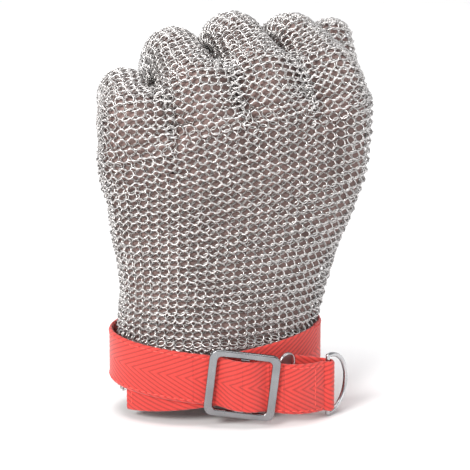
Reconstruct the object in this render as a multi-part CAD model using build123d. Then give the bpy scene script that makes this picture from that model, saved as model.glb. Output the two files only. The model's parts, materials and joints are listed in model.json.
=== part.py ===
from build123d import *
import math
import os

# A ring-mesh cut resistant glove, worn on a closed left fist.
# Millimetres. +Z runs from the wrist to the knuckles, the back of the hand faces -Y and the thumb is on +X.
# The origin is the centre of the wrist opening, level with the lower edge of the wrist band.

# --- driving dimensions -------------------------------------------------------------------------
MESH = 1.6            # thickness of the ring fabric
SEAM = 0.3            # gap between neighbouring stretches of fabric
BEND_SLACK = 0.6      # how much wider than the stall each joint bend runs

WEBBING_WIDTH = 19
WEBBING = 1.3         # webbing thickness
LAYER_GAP = 0.35      # clearance between layers of webbing and steel
STRAP_TURN = -18      # the buckle side of the wrist loop, turned about +Z from -Y
STRAP_LEVEL = 4.8     # lower edge of the outer layer at the middle of the front
STRAP_SLOPE = -0.12   # it runs down towards the thumb side, and the inner layer runs up
INNER_LEVEL = 4.2
INNER_SLOPE = 0.12
BACK_LEVEL = 9.3      # lower edge of the band on the palm side

HEM_HALF_WIDTH = 38.0
HEM_HALF_DEPTH = 25.0
HEM_BOTTOM = 5
HEM_TOP = 27

BUCKLE_WIDTH = 26
BUCKLE_HEIGHT = 25
BUCKLE_SIDE = 3.0     # width of the frame at its sides
BUCKLE_RAIL = 2.4     # and along its top and bottom
BUCKLE_PLATE = 1.5
BUCKLE_CORNER = 3.3
CENTRE_BAR = 3.0
BUCKLE_ALONG = 9.0    # buckle centre, measured along the strap from the middle of the wrist
HUMP_TOP = 1.8        # strap that lies level at each side of the centre bar
HUMP_FOOT = 0.8       # and at each foot of the hump over it
UNDER_BAR = 5.5       # strap between the buckle and where the tail starts to ease back
TAIL_EASE = 9         # how far the tail falls back round the wrist
FOLD_BACK = 12        # strap end sewn down behind the fold
SIDE_SPLIT = -2       # the front layers and the palm side meet here at the sides of the wrist
INNER_END = -33       # where the inner layer's sewn end stops, along the front

RING_WIRE = 1.7       # D-ring wire diameter
RING_DEPTH = 12
RING_WIDTH = 20.4
RING_SWING = 55       # the D-ring lies turned back against the wrist
TAIL_END = 40.5       # where the strap end folds round the D-ring
RIVET_HEAD = 7
RIVET_SHANK = 3
RIVET_CROWN = 1.1
RIVET_RISE = 1.2      # rivets sit a little above the middle of the webbing
RIVET_ALONG = 25      # place along the front of the rivet by the buckle
HEAD_LIFT = 0.1       # gap under a rivet's head
WASHER = 0.6
WASHER_ROOM = 1.1     # from the inside of the mesh to a washer
WASHER_PLAY = 0.05
RIVET_RIM = 0.2       # how far a shank stands out of its washer

# Height, centre x, centre y, half width and half depth of the hand's outline at each level.
HAND_LEVELS = (
    (HEM_TOP + SEAM, 0, 0, HEM_HALF_WIDTH, HEM_HALF_DEPTH),
    (46, 1.0, -3, 39, 22.5),
    (70, 4.0, -6, 46.5, 19.5),
    (84, 5.5, -7, 49.8, 17.5),
    (98, 4.5, -8, 52, 15.2),
    (116, 4.0, -9, 52.5, 13.2),
)
CROWN_LEVEL = 95.5    # the hand stops at a plane that slopes along the knuckles
CROWN_SLOPE = 9.0
SIDE_SEAM = -4        # the back and the palm of the hand meet at this depth

# Each finger: knuckle centre, lean towards the thumb and rise of its first bone in degrees, bone lengths,
# stall radius at knuckle, middle joint, end joint and tip, and turn of the middle and end joints.
FINGERS = {
    "little": dict(knuckle=(-34, -6, 103), lean=9, rise=27, bones=(32, 21, 14.5),
                   radii=(12.0, 9.0, 8.0, 7.4), turns=(98, 66)),
    "ring": dict(knuckle=(-9.5, -9, 113.5), lean=-0.5, rise=23, bones=(41.5, 25.5, 16),
                 radii=(12.1, 10.2, 9.0, 8.2), turns=(101, 70)),
    "middle": dict(knuckle=(16, -10, 116.5), lean=-3.5, rise=22, bones=(45, 28, 17),
                   radii=(12.4, 10.6, 9.4, 8.5), turns=(100, 70)),
    "index": dict(knuckle=(43, -8, 116), lean=-13, rise=24, bones=(41, 26, 16),
                  radii=(12.2, 9.9, 9.1, 8.2), turns=(100, 70)),
}
THUMB_POINTS = ((26, 3, 40), (51, 16, 75), (59, 31, 100.5), (59.5, 44, 123))
THUMB_RADII = (13.5, 11.5, 9.6, 8.6)
THUMB_REACH = 5.5     # half the length of each thumb joint's bend


def save(name, *solids):
    """Write one sub-part, from one solid or a group of separate ones."""
    shape = solids[0] if len(solids) == 1 else Compound(children=list(solids))
    export_step(shape, f"parts/{name}.step")


# --- fabric tubes -------------------------------------------------------------------------------
def cone(start, way, length, radius_0, radius_1):
    plane = Plane(origin=start, z_dir=way)
    if abs(radius_0 - radius_1) < 1e-3:
        return Solid.make_cylinder(radius_0, length, plane)
    return Solid.make_cone(radius_0, radius_1, length, plane)


def sleeve(start, end, radius_0, radius_1):
    """A straight open stall between two points, with a seam gap left at each end."""
    way = (end - start).normalized()
    length = (end - start).length - 2 * SEAM
    start = start + way * SEAM
    outer = cone(start, way, length, radius_0, radius_1)
    return outer - cone(start, way, length, radius_0 - MESH, radius_1 - MESH)


def closed_tip(start, end, radius_0, radius_1):
    """The last stall of a digit, with a round closed end about the point end."""
    way = (end - start).normalized()
    length = (end - start).length - SEAM
    start = start + way * SEAM
    outer = cone(start, way, length, radius_0, radius_1) + Pos(*end) * Sphere(radius_1)
    inner = cone(start, way, length, radius_0 - MESH, radius_1 - MESH)
    return outer - (inner + Pos(*end) * Sphere(radius_1 - MESH))


def bend(corner, way_in, way_out, reach, radius):
    """Fabric round a joint: a ring section turned from way_in to way_out, reach to each side of the corner."""
    turn = way_in.get_angle(way_out)
    sweep_radius = reach / math.tan(math.radians(turn / 2))
    inward = (way_out - way_in * way_in.dot(way_out)).normalized()
    start = corner - way_in * reach
    hinge = Axis(start + inward * sweep_radius, way_in.cross(way_out))
    section = Plane(origin=start, z_dir=way_in) * (Circle(radius) - Circle(radius - MESH))
    return revolve(section, hinge, turn)


def bend_reach(radius, turn):
    return (radius + BEND_SLACK) * math.tan(math.radians(turn / 2))


def way_of(lean, rise):
    """Unit vector that points away from the back of the hand, leaning to +X and rising to +Z."""
    level = math.cos(math.radians(rise))
    lean = math.radians(lean)
    return Vector(math.sin(lean) * level, math.cos(lean) * level, math.sin(math.radians(rise)))


def finger_joints(finger):
    """Points of the knuckle, middle joint, end joint and tip, and the four directions between them."""
    angle = finger["rise"]
    points = [Vector(*finger["knuckle"])]
    ways = [Vector(0, 0, 1)]
    for bone, turn in zip(finger["bones"], (*finger["turns"], 0)):
        ways.append(way_of(finger["lean"], angle))
        points.append(points[-1] + ways[-1] * bone)
        angle -= turn
    return points, ways


# --- the hand -----------------------------------------------------------------------------------
def hand_solid(inset):
    """The filled hand from the hem to above the knuckles, inset by a wall thickness."""
    rings = [
        Pos(x, y, z) * Ellipse(half_width - inset, half_depth - inset)
        for z, x, y, half_width, half_depth in HAND_LEVELS
    ]
    return loft(rings)


def above_crown():
    """All space above the plane along which the knuckles leave the hand."""
    crown = Pos(0, 0, CROWN_LEVEL) * Rot(Y=-CROWN_SLOPE)
    return crown * Pos(0, 0, 100) * Box(300, 300, 200)


def half_space(side):
    """All space on the back (-1) or palm (+1) side of the side seams."""
    return Pos(0, side * (100 + SEAM / 2) + SIDE_SEAM, 60) * Box(300, 200, 300)


def thumb_base_solid(inset):
    corner = Vector(*THUMB_POINTS[1])
    root = Vector(*THUMB_POINTS[0])
    way = (corner - root).normalized()
    length = (corner - root).length - THUMB_REACH - SEAM
    return cone(root, way, length, THUMB_RADII[0] - inset, THUMB_RADII[1] - inset)


def build_hand():
    outer = hand_solid(0)
    shell = outer - hand_solid(MESH) - above_crown()
    opened = shell - thumb_base_solid(-SEAM)
    save("back_of_hand_mesh", opened & half_space(-1))
    save("palm_mesh", opened & half_space(1))
    base = thumb_base_solid(0) - thumb_base_solid(MESH) - outer
    save("thumb_base_mesh", max(base.solids(), key=lambda piece: piece.volume))
    hem = elliptic_band(HEM_HALF_WIDTH, HEM_HALF_DEPTH, MESH, HEM_TOP - HEM_BOTTOM)
    save("wrist_hem_mesh", Pos(0, 0, HEM_BOTTOM) * hem - rivet_holes())


def build_fingers():
    crown = above_crown()
    for name, finger in FINGERS.items():
        points, ways = finger_joints(finger)
        radii = finger["radii"]
        turns = (90 - finger["rise"], *finger["turns"])
        reach = [bend_reach(radius, turn) for radius, turn in zip(radii, turns)]
        root = points[0] - ways[0] * 40
        leg = sleeve(root, points[0] - ways[0] * (reach[0] - SEAM), radii[0], radii[0])
        knuckle = (leg & (Pos(0, 0, SEAM) * crown)) + bend(points[0], ways[0], ways[1], reach[0], radii[0])
        save(f"{name}_knuckle_mesh", knuckle)
        for joint, stall, i in (("middle_joint_mesh", "base_stall", 1), ("end_joint_mesh", "middle_stall", 2)):
            start = points[i - 1] + ways[i] * reach[i - 1]
            end = points[i] - ways[i] * reach[i]
            save(f"{name}_{stall}", sleeve(start, end, radii[i - 1], radii[i]))
            save(f"{name}_{joint}", bend(points[i], ways[i], ways[i + 1], reach[i], radii[i]))
        save(f"{name}_tip_stall", closed_tip(points[2] + ways[3] * reach[2], points[3], radii[2], radii[3]))


def build_thumb():
    points = [Vector(*point) for point in THUMB_POINTS]
    ways = [(end - start).normalized() for start, end in zip(points, points[1:])]
    save("thumb_knuckle_mesh", bend(points[1], ways[0], ways[1], THUMB_REACH, THUMB_RADII[1]))
    start = points[1] + ways[1] * THUMB_REACH
    end = points[2] - ways[1] * THUMB_REACH
    save("thumb_stall", sleeve(start, end, THUMB_RADII[1], THUMB_RADII[2]))
    save("thumb_joint_mesh", bend(points[2], ways[1], ways[2], THUMB_REACH, THUMB_RADII[2]))
    start = points[2] + ways[2] * THUMB_REACH
    save("thumb_tip_stall", closed_tip(start, points[3], THUMB_RADII[2], THUMB_RADII[3]))


# --- the wrist strap ----------------------------------------------------------------------------
# The strap is laid out in its own directions: X along the front of the wrist, -Y out through the buckle.
STRAP_FRAME = Rot(Z=STRAP_TURN)
BAND_HALF_WIDTH = HEM_HALF_WIDTH + LAYER_GAP + WEBBING
BAND_HALF_DEPTH = HEM_HALF_DEPTH + LAYER_GAP + WEBBING
LAP_HALF_WIDTH = BAND_HALF_WIDTH + LAYER_GAP + WEBBING
LAP_HALF_DEPTH = BAND_HALF_DEPTH + LAYER_GAP + WEBBING


def lap_tangent():
    """Depth of the flat stretch's outer face, and how far along the front the round lap meets it."""
    out_x = math.sin(math.radians(STRAP_TURN))
    out_y = -math.cos(math.radians(STRAP_TURN))
    depth = math.hypot(out_x * LAP_HALF_WIDTH, out_y * LAP_HALF_DEPTH)
    touch_x = out_x * LAP_HALF_WIDTH**2 / depth
    touch_y = out_y * LAP_HALF_DEPTH**2 / depth
    return depth, -touch_x * out_y + touch_y * out_x


FRONT_DEPTH, FLAT_START = lap_tangent()
HUMP_HALF = BUCKLE_WIDTH / 2 - BUCKLE_SIDE - SEAM
HIGH = 80             # taller than any cut below


def elliptic_band(half_width, half_depth, thickness, height):
    outer = Ellipse(half_width, half_depth) - Ellipse(half_width - thickness, half_depth - thickness)
    return extrude(outer, height)


def slanted(level, slope, height=WEBBING_WIDTH):
    """A slab of webbing width whose lower edge is at level in the middle and climbs by slope along the front."""
    tilt = math.degrees(math.atan(slope))
    return Pos(0, 0, level) * Rot(Y=-tilt) * Pos(0, 0, height / 2) * Box(300, 300, height)


def along(start, end, near, far):
    """All space between two places along the front and two depths, in the strap's directions."""
    size = (end - start, far - near, HIGH * 2)
    return STRAP_FRAME * Pos((start + end) / 2, (near + far) / 2, 0) * Box(*size)


def tall_band(half_width, half_depth):
    return Pos(0, 0, -HIGH / 2) * elliptic_band(half_width, half_depth, WEBBING, HIGH)


def ribbon(points):
    """Webbing seen from above: a strip along a line of points, extruded as tall as any cut."""
    points = [Vector(*point) for point in points]
    points[0] += (points[1] - points[0]).normalized() * WEBBING / 2
    points[-1] += (points[-2] - points[-1]).normalized() * WEBBING / 2
    strip = offset(Polyline(*points), WEBBING / 2, kind=Kind.INTERSECTION, side=Side.BOTH)
    return STRAP_FRAME * Pos(0, 0, -HIGH / 2) * extrude(make_face(strip.edges()), HIGH)


INNER_SLAB = STRAP_FRAME * slanted(INNER_LEVEL, INNER_SLOPE)
OUTER_SLAB = STRAP_FRAME * slanted(STRAP_LEVEL, STRAP_SLOPE)
BACK_SLAB = slanted(BACK_LEVEL, -0.01)


def tail_points():
    """Centre line of the strap's free end, from the buckle to the fold, easing back round the wrist."""
    depth = FRONT_DEPTH - WEBBING / 2
    start = BUCKLE_ALONG + HUMP_HALF + UNDER_BAR
    steps = 5
    span = TAIL_END - RING_WIRE - start
    return [
        (start + span * i / steps, -depth + TAIL_EASE * (i / steps) ** 2) for i in range(steps + 1)
    ]


PALM_SHIFT = (LAP_HALF_WIDTH - BAND_HALF_WIDTH) / 2
# Each rivet: degrees round the wrist from the buckle side towards the thumb, shift of the layer that it
# holds, and height of that layer's lower edge there.
RIVETS = (
    (38, 0, INNER_LEVEL + RIVET_ALONG * INNER_SLOPE),
    (140, -PALM_SHIFT, BACK_LEVEL),
    (222, -PALM_SHIFT, BACK_LEVEL),
)


def rivet_seats():
    """Where each rivet's head meets the webbing, with Z out of the wrist."""
    for degrees, shift, level in RIVETS:
        angle = math.radians(degrees + STRAP_TURN)
        out = Vector(math.sin(angle), -math.cos(angle), 0)
        half_width = BAND_HALF_WIDTH - shift
        reach = math.hypot(out.X * half_width, out.Y * BAND_HALF_DEPTH)
        seat = (
            out.X * half_width**2 / reach + shift,
            out.Y * BAND_HALF_DEPTH**2 / reach,
            level + WEBBING_WIDTH / 2 + RIVET_RISE,
        )
        yield Plane(origin=seat, x_dir=(0, 0, 1), z_dir=out)


def rivet_holes():
    holes = [plane * Cylinder(RIVET_SHANK / 2 + 0.1, 20) for plane in rivet_seats()]
    return Part() + holes


def build_rivets():
    """Rivets through the webbing and the hem, with a washer against the inside of the mesh."""
    inside = WEBBING + LAYER_GAP + MESH + WASHER_ROOM
    shank_length = inside + WASHER + RIVET_RIM
    rivets = []
    washers = []
    for plane in rivet_seats():
        head = Pos(0, 0, HEAD_LIFT + RIVET_CROWN / 2) * Cylinder(RIVET_HEAD / 2, RIVET_CROWN)
        head = fillet(head.faces().sort_by(Axis.Z)[-1].edges(), RIVET_CROWN * 0.6)
        shank = Cylinder(RIVET_SHANK / 2, shank_length)
        rivets.append(plane * (head + Pos(0, 0, HEAD_LIFT - shank_length / 2) * shank))
        washer = Cylinder(RIVET_HEAD / 2 - SEAM, WASHER) - Cylinder(RIVET_SHANK / 2 + WASHER_PLAY, WASHER)
        washers.append(plane * Pos(0, 0, -inside - WASHER / 2) * washer)
    save("rivets", *rivets)
    save("rivet_washers", *washers)


def build_band():
    band = tall_band(BAND_HALF_WIDTH, BAND_HALF_DEPTH)
    front = band & INNER_SLAB & along(INNER_END, HIGH, -HIGH, SIDE_SPLIT)
    save("inner_band_front", front - rivet_holes())
    palm_side = Pos(-PALM_SHIFT, 0, 0) * tall_band(BAND_HALF_WIDTH + PALM_SHIFT, BAND_HALF_DEPTH)
    palm_side = palm_side & BACK_SLAB & along(-HIGH, HIGH, SIDE_SPLIT + SEAM, HIGH)
    save("band_palm_side", palm_side - rivet_holes())


def build_strap():
    lap = tall_band(LAP_HALF_WIDTH, LAP_HALF_DEPTH)
    save("strap_wrap", lap & OUTER_SLAB & along(-HIGH, FLAT_START - SEAM, -HIGH, SIDE_SPLIT))


def buckle_frame():
    """Square steel slide: a stamped frame and a centre bar behind the webbing's crossing."""
    plate = RectangleRounded(BUCKLE_WIDTH, BUCKLE_HEIGHT, BUCKLE_CORNER)
    window = RectangleRounded(BUCKLE_WIDTH - 2 * BUCKLE_SIDE, BUCKLE_HEIGHT - 2 * BUCKLE_RAIL, BUCKLE_CORNER / 2)
    frame = extrude(plate - window, BUCKLE_PLATE)
    frame = fillet(frame.faces().sort_by(Axis.Z)[-1].edges(), 0.5)
    return frame


BUCKLE_BACK = FRONT_DEPTH + LAYER_GAP


def strap_middle(place):
    """Height of the outer layer's middle at a place along the front."""
    return STRAP_LEVEL + STRAP_SLOPE * place + WEBBING_WIDTH / 2


def buckle_place():
    """Where the buckle's own X, Y and outward Z lie on the wrist."""
    tilt = math.degrees(math.atan(STRAP_SLOPE))
    level = strap_middle(BUCKLE_ALONG)
    seat = Plane(origin=(BUCKLE_ALONG, -BUCKLE_BACK, level), x_dir=(1, 0, 0), z_dir=(0, -1, 0))
    return STRAP_FRAME * seat.location * Rot(Z=tilt)


def build_buckle():
    place = buckle_place()
    bar_height = BUCKLE_HEIGHT - 2 * BUCKLE_RAIL
    bar = Pos(0, 0, BUCKLE_PLATE / 2) * Box(CENTRE_BAR, bar_height, BUCKLE_PLATE)
    save("buckle_frame", place * buckle_frame())
    save("buckle_centre_bar", place * bar)


def build_crossing():
    """The strap in front of the wrist: under the frame's sides and over its centre bar."""
    low = -(FRONT_DEPTH - WEBBING / 2)
    high = -(BUCKLE_BACK + BUCKLE_PLATE + LAYER_GAP + WEBBING / 2)
    near_bar = CENTRE_BAR / 2 + HUMP_TOP
    left = BUCKLE_ALONG - HUMP_HALF
    right = BUCKLE_ALONG + HUMP_HALF
    hump = [
        (left, low), (left + HUMP_FOOT, low), (BUCKLE_ALONG - near_bar, high),
        (BUCKLE_ALONG + near_bar, high), (right - HUMP_FOOT, low), (right, low),
    ]
    save("strap_over_bar", ribbon(hump) & OUTER_SLAB)
    save("strap_flat", ribbon([(FLAT_START, low), (left - SEAM, low)]) & OUTER_SLAB)
    join = tail_points()[0][0]
    save("strap_under_bar", ribbon([(right + SEAM, low), (join - SEAM, low)]) & OUTER_SLAB)
    save("strap_tail", ribbon(tail_points()) & OUTER_SLAB)


def ring_centre():
    end = tail_points()[-1]
    place = STRAP_FRAME * Pos(TAIL_END, end[1] + WEBBING / 2 + RING_WIRE / 2 + LAYER_GAP, 0)
    return place


def build_fold_and_ring():
    """The folded strap end and the D-ring whose straight bar lies inside the fold."""
    inner = RING_WIRE / 2 + LAYER_GAP
    loop = Circle(inner + WEBBING) - Circle(inner)
    loop = loop & Pos(inner + WEBBING, 0) * Rectangle(2 * (inner + WEBBING), 4 * (inner + WEBBING))
    back = Pos(-FOLD_BACK / 2, inner + WEBBING / 2) * Rectangle(FOLD_BACK, WEBBING)
    front_length = RING_WIRE - SEAM
    front = Pos(-front_length / 2, -(inner + WEBBING / 2)) * Rectangle(front_length, WEBBING)
    fold = Pos(0, 0, -HIGH / 2) * extrude(loop + back + front, HIGH)
    save("strap_end_fold", (ring_centre() * fold) & OUTER_SLAB)
    half = RING_WIDTH / 2 + RING_WIRE / 2
    bar = Cylinder(RING_WIRE / 2, 2 * half)
    bow = ThreePointArc((0, 0, half), (RING_DEPTH, 0, 0), (0, 0, -half))
    section = Plane(origin=bow @ 0, z_dir=bow % 0) * Circle(RING_WIRE / 2)
    ring = bar + sweep(section, bow)
    for end in (-half, half):
        ring += Pos(0, 0, end) * Sphere(RING_WIRE / 2)
    save("d_ring", ring_centre() * Pos(0, 0, strap_middle(TAIL_END)) * Rot(Z=RING_SWING) * ring)


os.makedirs("parts", exist_ok=True)
for build_step in (build_hand, build_fingers, build_thumb, build_band, build_strap, build_crossing,
                   build_buckle, build_fold_and_ring, build_rivets):
    build_step()
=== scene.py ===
import json
import math

import bpy
import numpy as np
from mathutils import Matrix, Vector


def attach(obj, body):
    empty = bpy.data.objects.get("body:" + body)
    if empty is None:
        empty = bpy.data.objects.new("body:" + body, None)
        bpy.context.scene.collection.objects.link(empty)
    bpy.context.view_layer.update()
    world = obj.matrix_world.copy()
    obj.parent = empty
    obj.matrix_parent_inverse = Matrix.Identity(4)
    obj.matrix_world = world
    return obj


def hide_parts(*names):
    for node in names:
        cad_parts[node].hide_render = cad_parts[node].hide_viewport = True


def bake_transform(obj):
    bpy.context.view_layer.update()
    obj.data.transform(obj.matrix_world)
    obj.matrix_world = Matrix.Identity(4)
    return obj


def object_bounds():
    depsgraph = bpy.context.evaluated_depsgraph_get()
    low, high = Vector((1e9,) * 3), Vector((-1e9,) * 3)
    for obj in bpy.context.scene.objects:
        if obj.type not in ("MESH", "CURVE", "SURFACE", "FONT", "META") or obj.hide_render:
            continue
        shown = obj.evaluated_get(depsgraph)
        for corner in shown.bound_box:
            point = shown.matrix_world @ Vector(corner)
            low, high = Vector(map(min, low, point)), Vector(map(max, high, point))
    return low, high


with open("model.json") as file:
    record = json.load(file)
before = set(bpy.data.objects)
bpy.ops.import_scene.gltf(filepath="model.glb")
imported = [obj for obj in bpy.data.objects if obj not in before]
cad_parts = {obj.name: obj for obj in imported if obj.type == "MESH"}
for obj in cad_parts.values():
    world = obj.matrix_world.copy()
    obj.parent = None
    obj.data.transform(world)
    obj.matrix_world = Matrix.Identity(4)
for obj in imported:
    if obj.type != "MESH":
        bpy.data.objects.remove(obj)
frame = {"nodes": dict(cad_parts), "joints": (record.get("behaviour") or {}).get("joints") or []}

bl_info = {
    "name": "Cut Resistant Glove",
    "version": (1, 0, 0),
    "blender": (4, 5, 0),
    "location": "View3D > Sidebar > Glove",
    "description": "Builds a ring-mesh cut resistant glove with its webbing wrist strap",
    "category": "Object",
}

MM = 0.001
CAD_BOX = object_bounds()
JOINTS = {joint["name"]: joint for joint in frame["joints"]}

# --- the glove's own sizes, in millimetres ---------------------------------------------------------
# Height, centre x, centre y, half width and half depth of the hand's outline at each level.
HAND_LEVELS = np.array([
    (5.0, 0.0, 0.0, 38.0, 25.0),
    (27.3, 0.0, 0.0, 38.0, 25.0),
    (46.0, 1.0, -3.0, 39.0, 22.5),
    (70.0, 4.0, -6.0, 46.5, 19.5),
    (84.0, 5.5, -7.0, 49.8, 17.5),
    (98.0, 4.5, -8.0, 52.0, 15.2),
    (116.0, 4.0, -9.0, 52.5, 13.2),
])
HEM_BOTTOM = 5.0
HEM_TOP = 27.0
HEM_FIRST_ROW = HEM_BOTTOM + 1.4
HEM_LAST_ROW = HEM_TOP - 0.1
HEM_HALF_WIDTH = 38.0
HEM_HALF_DEPTH = 25.0
CROWN_LEVEL = 95.5
CROWN_CLIMB = math.tan(math.radians(9.0))
CROWN_OUTLINE = (52.0, 15.5)  # half width and half depth
HAND_GIRTH = 218.0    # the girth on which the rings in a row are counted
SIDE_SEAM = -4.0

# Radius of each stall at the knuckle, middle joint, end joint and tip, and length of the last bone.
FINGERS = {
    "little": dict(radii=(12.0, 9.0, 8.0, 7.4), last_bone=14.5),
    "ring": dict(radii=(12.1, 10.2, 9.0, 8.2), last_bone=16.0),
    "middle": dict(radii=(12.4, 10.6, 9.4, 8.5), last_bone=17.0),
    "index": dict(radii=(12.2, 9.9, 9.1, 8.2), last_bone=16.0),
}
BEND_SLACK = 0.6
THUMB_ROOT = (26.0, 3.0, 40.0)
THUMB_END = (59.5, 44.0, 123.0)
THUMB_RADII = (13.5, 11.5, 9.6, 8.6)
THUMB_REACH = 5.5
THUMB_OVERLAP = 3.0   # how far the hand's rings run on into the thumb's base
# The fabric bridges the valleys between the knuckles, and less so further along the fingers.
KNUCKLE_FILL = 16.0
STALL_FILL = 2.5
FILL_FADES = (-6.0, 13.0)
THUMB_FILL = 9.0
HAND_CAP = 6.0        # how roundly the back of the hand ends below the knuckles
CROWN_FILL = 3.0
SIDE_LAP = 1.2        # the knuckles' outlines reach this far past the planes between fingers

# Rings and the dark sheet of painted shade behind them, from the fabric's outer face inwards.
ROUND_RING = 12       # points round a ring, and round its wire
ROUND_WIRE = 5
RING_INSET = 0.8
HEM_INSET = 1.1
SHADE_SHEET_INSET = 2.1
SHADE_SHEET_THICKNESS = 0.5
SHADE_SHEET_LAP = 0.5      # neighbouring sheets of painted shade reach this far over each other
SHADE_SHEET_ROUND = 44     # faces round each stall's sheet of painted shade
HAND_SHADE_SHEET_SPAN = (-0.31, 0.99)      # as shares of the way from the hem to the crown
HAND_SHADE_SHEET_ROWS = 34
CROWDED = 0.6         # a row nearer than this share of the row pitch is left out
BURIED = 2.0          # rings deeper than this between two fingers are left out
FOLDED_SIDE = 0.45    # but not on a bend's inside, from this share of the half width
MOST_SETTLED = 5.0
KNUCKLE_SPREAD = 1.08     # rows stand this much further apart on the outside of a bend
JOINT_SPREAD = 1.15
OUTLINE_STEPS = 240
FIT_STEPS = 96
SMALL_TURN = 0.004    # share of an outline over which its direction is taken

# The strap is laid out in its own directions: x along the front of the wrist, -y out through the buckle.
STRAP_TURN = math.radians(-18.0)
WEBBING_WIDTH = 19.0
WEBBING = 1.3
LAYER_GAP = 0.35
BAND_HALF = (HEM_HALF_WIDTH + LAYER_GAP + WEBBING, HEM_HALF_DEPTH + LAYER_GAP + WEBBING)
LAP_HALF = (BAND_HALF[0] + LAYER_GAP + WEBBING, BAND_HALF[1] + LAYER_GAP + WEBBING)
PALM_SHIFT = (LAP_HALF[0] - BAND_HALF[0]) / 2
INNER_LEVEL, INNER_SLOPE, INNER_END = 4.2, 0.12, -33.0
STRAP_LEVEL, STRAP_SLOPE = 4.8, -0.12
BACK_LEVEL, BACK_SLOPE = 9.3, -0.01
BUCKLE_ALONG = 9.0
BUCKLE_PLATE = 1.5
CENTRE_BAR = 3.0
HUMP_HALF = 9.7
HUMP_TOP = 1.8        # strap that lies level at each side of the centre bar
HUMP_FOOT = 1.6       # and at each foot of the hump over it
UNDER_BAR = 5.5       # strap between the buckle and where the tail starts to ease back
TAIL_EASE = 9.0       # how far the tail falls back round the wrist
TAIL_END = 40.5
FOLD_BACK = 11.9      # strap end sewn down behind the fold
RING_WIRE = 1.7
SPLIT_DEPTH = -2.0    # where the front layers end at the sides of the wrist
WRIST_STEPS = 1440    # points round the wrist
WEAVE_STEP = 0.36     # how finely the webbing's mesh follows its ribs
SELVEDGE_ROUND = 0.9  # how far in from its edges the webbing is rounded off
SELVEDGE = 1.25       # rows of stitches run this far inside the webbing's edges
STITCH = (0.85, 0.26, 0.24)   # half length, half width and half height
STITCH_STEP = 2.4
FOLD_SEAM = 5.0       # the seam that closes the fold, back from the ring
END_SEAM = 2.5        # the seam at the inner layer's end

LIMBS = {}            # middle line and radii of each digit, filled in by measure_limbs


# --- settings --------------------------------------------------------------------------------------
class GloveMeshSettings(bpy.types.PropertyGroup):
    ring_wire: bpy.props.FloatProperty(
        name="Ring wire", description="Wire thickness of a ring", default=0.00055, unit="LENGTH",
        precision=5)
    ring_radius: bpy.props.FloatProperty(
        name="Ring radius", description="From a ring's centre to the middle of its wire",
        default=0.00168, unit="LENGTH", precision=5)
    column_pitch: bpy.props.FloatProperty(
        name="Column pitch", description="Distance between rings in a row", default=0.00375,
        unit="LENGTH", precision=5)
    row_pitch: bpy.props.FloatProperty(
        name="Row pitch", description="Distance between rows of rings", default=0.0016,
        unit="LENGTH", precision=5)
    tilt: bpy.props.FloatProperty(
        name="Tilt", description="How far each row leans over, one row up and the next down",
        default=math.radians(40), subtype="ANGLE")
    lean: bpy.props.FloatProperty(
        name="Lean", description="Sideways lean that all rings share", default=math.radians(8),
        subtype="ANGLE")
    unevenness: bpy.props.FloatProperty(
        name="Unevenness", description="How much rings differ in tilt and lean",
        default=math.radians(6), subtype="ANGLE")
    steel_colour: bpy.props.FloatVectorProperty(
        name="Steel", description="Colour of the rings", default=(0.64, 0.625, 0.615),
        subtype="COLOR", min=0, max=1)
    # Painted shade: colour of the dark sheet behind the rings, in the tone of the shaded hand seen through
    # them.
    shade_sheet_colour: bpy.props.FloatVectorProperty(
        name="Lining", description="Colour of the knitted lining behind the rings",
        default=(0.24, 0.165, 0.15), subtype="COLOR", min=0, max=1)


class GloveStrapSettings(bpy.types.PropertyGroup):
    rib_pitch: bpy.props.FloatProperty(
        name="Rib pitch", description="Distance between ribs of the weave", default=0.00155,
        unit="LENGTH", precision=5)
    rib_height: bpy.props.FloatProperty(
        name="Rib height", description="How far a rib stands out of the groove", default=0.00016,
        unit="LENGTH", precision=5)
    rib_angle: bpy.props.FloatProperty(
        name="Rib angle", description="Slope of the ribs against the strap's length",
        default=math.radians(27), subtype="ANGLE")
    webbing_colour: bpy.props.FloatVectorProperty(
        name="Webbing", description="Colour of the strap", default=(0.70, 0.045, 0.033),
        subtype="COLOR", min=0, max=1)
    thread_colour: bpy.props.FloatVectorProperty(
        name="Thread", description="Colour of the stitching", default=(0.78, 0.09, 0.07),
        subtype="COLOR", min=0, max=1)
    buckle_colour: bpy.props.FloatVectorProperty(
        name="Buckle", description="Colour of the buckle's steel", default=(0.26, 0.265, 0.275),
        subtype="COLOR", min=0, max=1)
    fitting_colour: bpy.props.FloatVectorProperty(
        name="Fittings", description="Colour of the ring and the rivets", default=(0.50, 0.50, 0.51),
        subtype="COLOR", min=0, max=1)


class GloveStageSettings(bpy.types.PropertyGroup):
    azimuth: bpy.props.FloatProperty(
        name="Azimuth", description="Camera's turn round the glove", default=math.radians(-18),
        subtype="ANGLE")
    elevation: bpy.props.FloatProperty(
        name="Elevation", description="Camera's height as an angle", default=math.radians(15),
        subtype="ANGLE")
    distance: bpy.props.FloatProperty(
        name="Distance", description="From the camera to the wrist", default=1.0, unit="LENGTH")
    lens: bpy.props.FloatProperty(
        name="Lens", description="Focal length in millimetres", default=204.0)
    floor_colour: bpy.props.FloatVectorProperty(
        name="Floor", description="Colour of the floor", default=(0.93, 0.93, 0.93),
        subtype="COLOR", min=0, max=1)
    light: bpy.props.FloatProperty(
        name="Light", description="Strength of all the lamps", default=1.0, min=0)


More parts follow.
